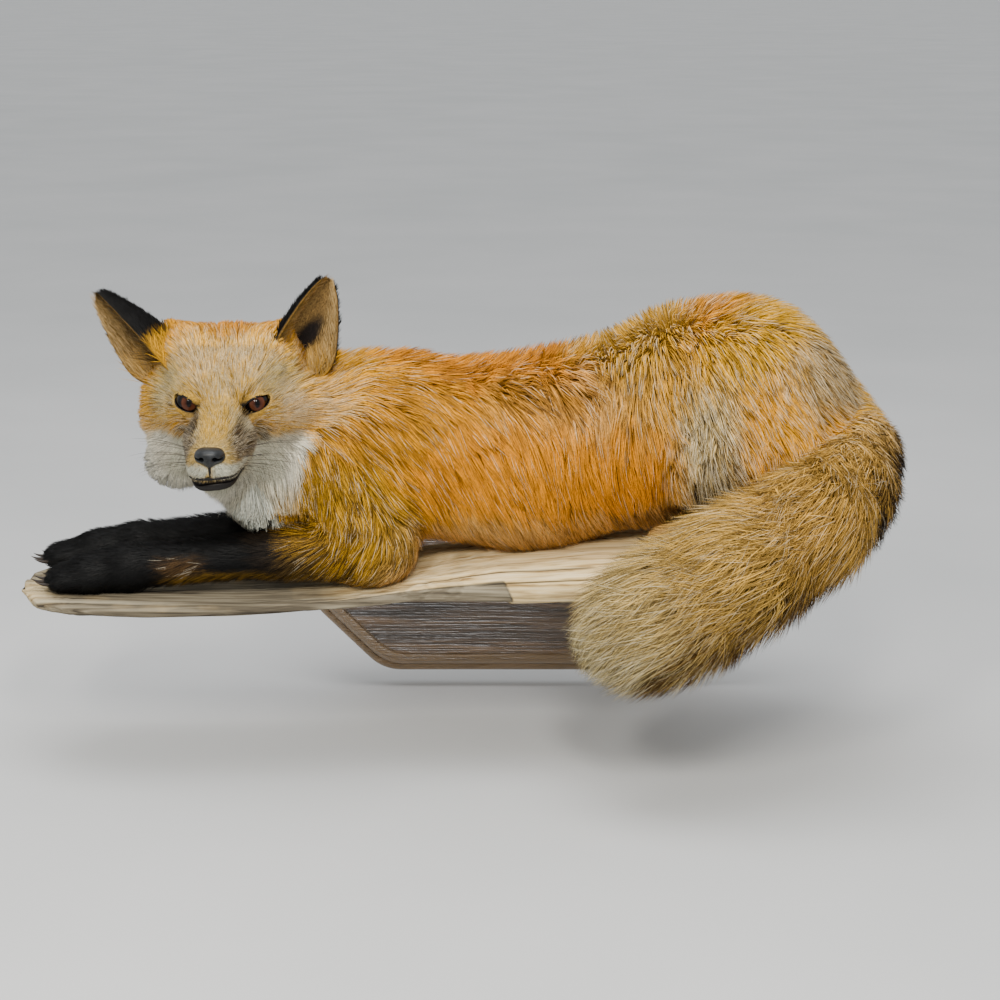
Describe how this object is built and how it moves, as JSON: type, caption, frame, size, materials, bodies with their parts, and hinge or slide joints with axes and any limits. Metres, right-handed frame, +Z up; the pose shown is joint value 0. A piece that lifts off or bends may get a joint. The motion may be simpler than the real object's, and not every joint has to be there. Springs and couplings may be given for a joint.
{
  "type": "taxidermy red fox wall mount",
  "caption": "Life-size red fox mount, lying along a driftwood slab with its head turned out and its tail curled forward, carried by a wooden wall panel.",
  "frame": {"origin": "middle of the wall panel's back face, which lies flat on the wall", "axes": "+Z up, +X along the slab from the forepaws to the rump, +Y out of the panel's back face into the wall; the fox looks along -Y"},
  "size_m": [0.6606, 0.3466, 0.3596],
  "materials": {
    "red_fur": "golden orange fox fur with dark guard hairs",
    "pale_fur": "cream to grey-white fur of cheeks, throat and bib",
    "black_fur": "short black-brown fur of stockings and ear backs",
    "tail_fur": "long soft tan fur with dark guard hairs and a pale tip",
    "eye_glass": "painted glass eye with amber-brown iris and dark pupil",
    "nose_skin": "black pebbled nose leather and lips",
    "weathered_wood": "bleached, grooved driftwood",
    "stained_wood": "stained wood under a clear satin finish"
  },
  "bodies": {
    "root": {"plaque": "stained_wood", "driftwood": "weathered_wood", "nose": "nose_skin", "eye_left": "eye_glass", "eye_right": "eye_glass", "head": "red_fur", "lower_jaw": "pale_fur", "ear_left": "black_fur", "ear_right": "black_fur", "neck": "pale_fur", "trunk": "red_fur", "thigh_left": "red_fur", "thigh_right": "red_fur", "upper_arm_left": "red_fur", "upper_arm_right": "red_fur", "forearm_left": "black_fur", "forearm_right": "black_fur", "forepaw_left": "black_fur", "forepaw_right": "black_fur", "shank_left": "red_fur", "shank_right": "red_fur", "hindpaw_left": "black_fur", "hindpaw_right": "black_fur", "tail_base": "tail_fur", "tail_middle": "tail_fur", "tail_tip": "tail_fur"}
  },
  "joints": []
}
